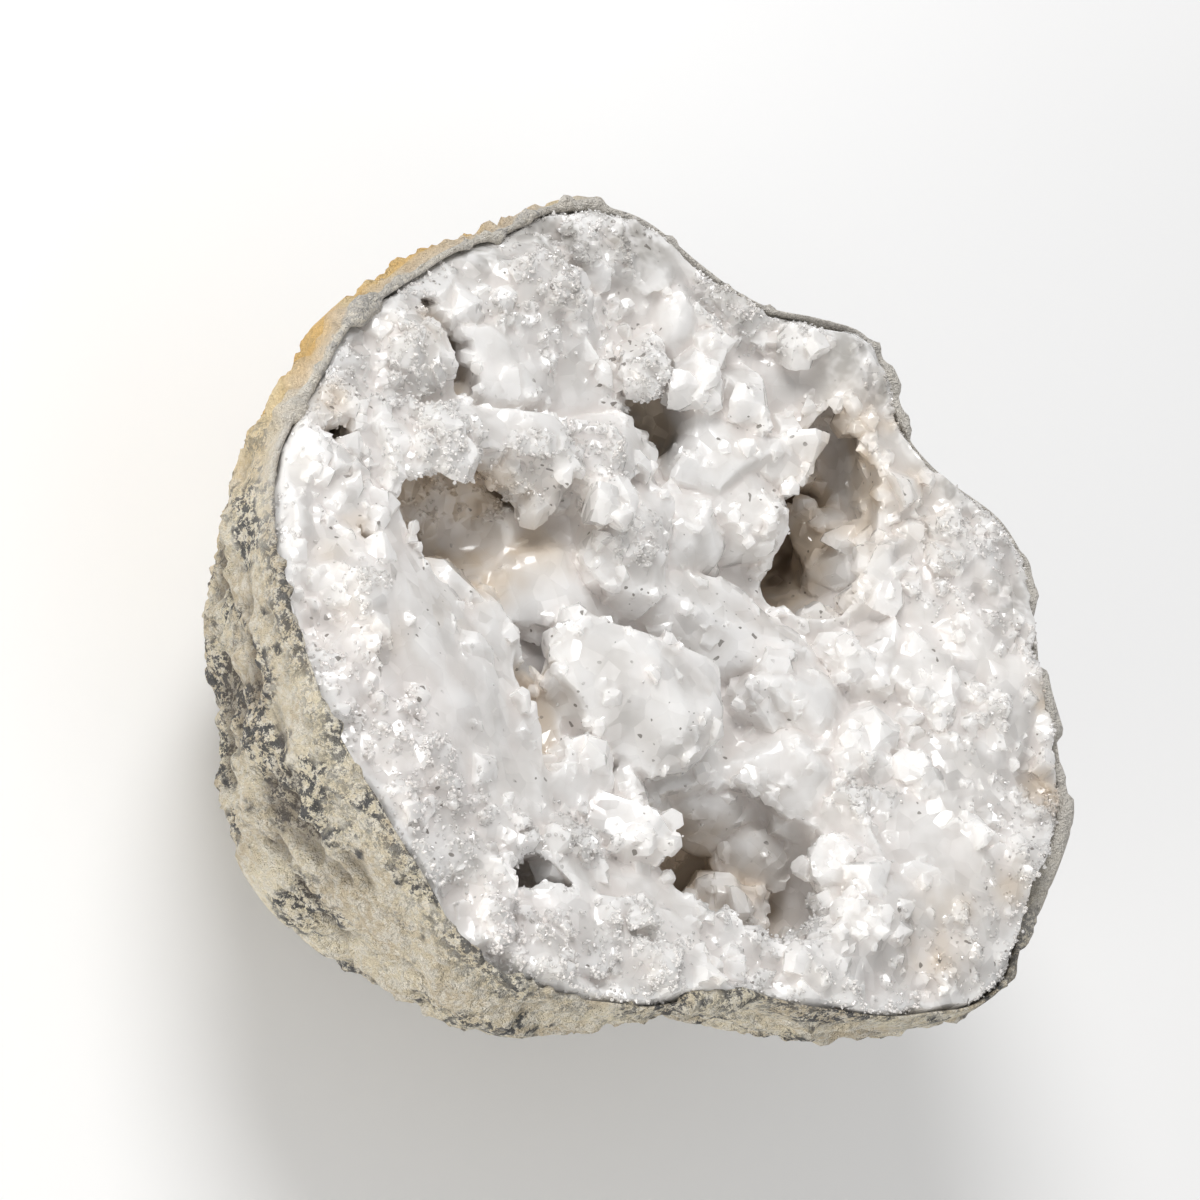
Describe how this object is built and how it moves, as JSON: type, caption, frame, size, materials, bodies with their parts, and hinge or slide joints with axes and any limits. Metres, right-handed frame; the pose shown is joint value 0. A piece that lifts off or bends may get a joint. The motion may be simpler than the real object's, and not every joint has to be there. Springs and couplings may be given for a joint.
{
  "type": "quartz geode",
  "caption": "Half of a white quartz geode: a rough stone rind lined with a crust of milky crystals around open pockets.",
  "frame": {"origin": "under the middle of the stone, on the surface it rests on", "axes": "+Z out of the open hollow, square to the broken face; +X along the longest width of that face"},
  "size_m": [0.0834, 0.0773, 0.0439],
  "materials": {
    "rind_stone": "rough weathered stone with dark grey specks and an ochre skin on the back",
    "milky_quartz": "translucent white quartz with small glossy crystal faces, stained tan in the pockets"
  },
  "bodies": {
    "root": {"rind": "rind_stone", "crystal_crust": "milky_quartz"}
  },
  "joints": []
}
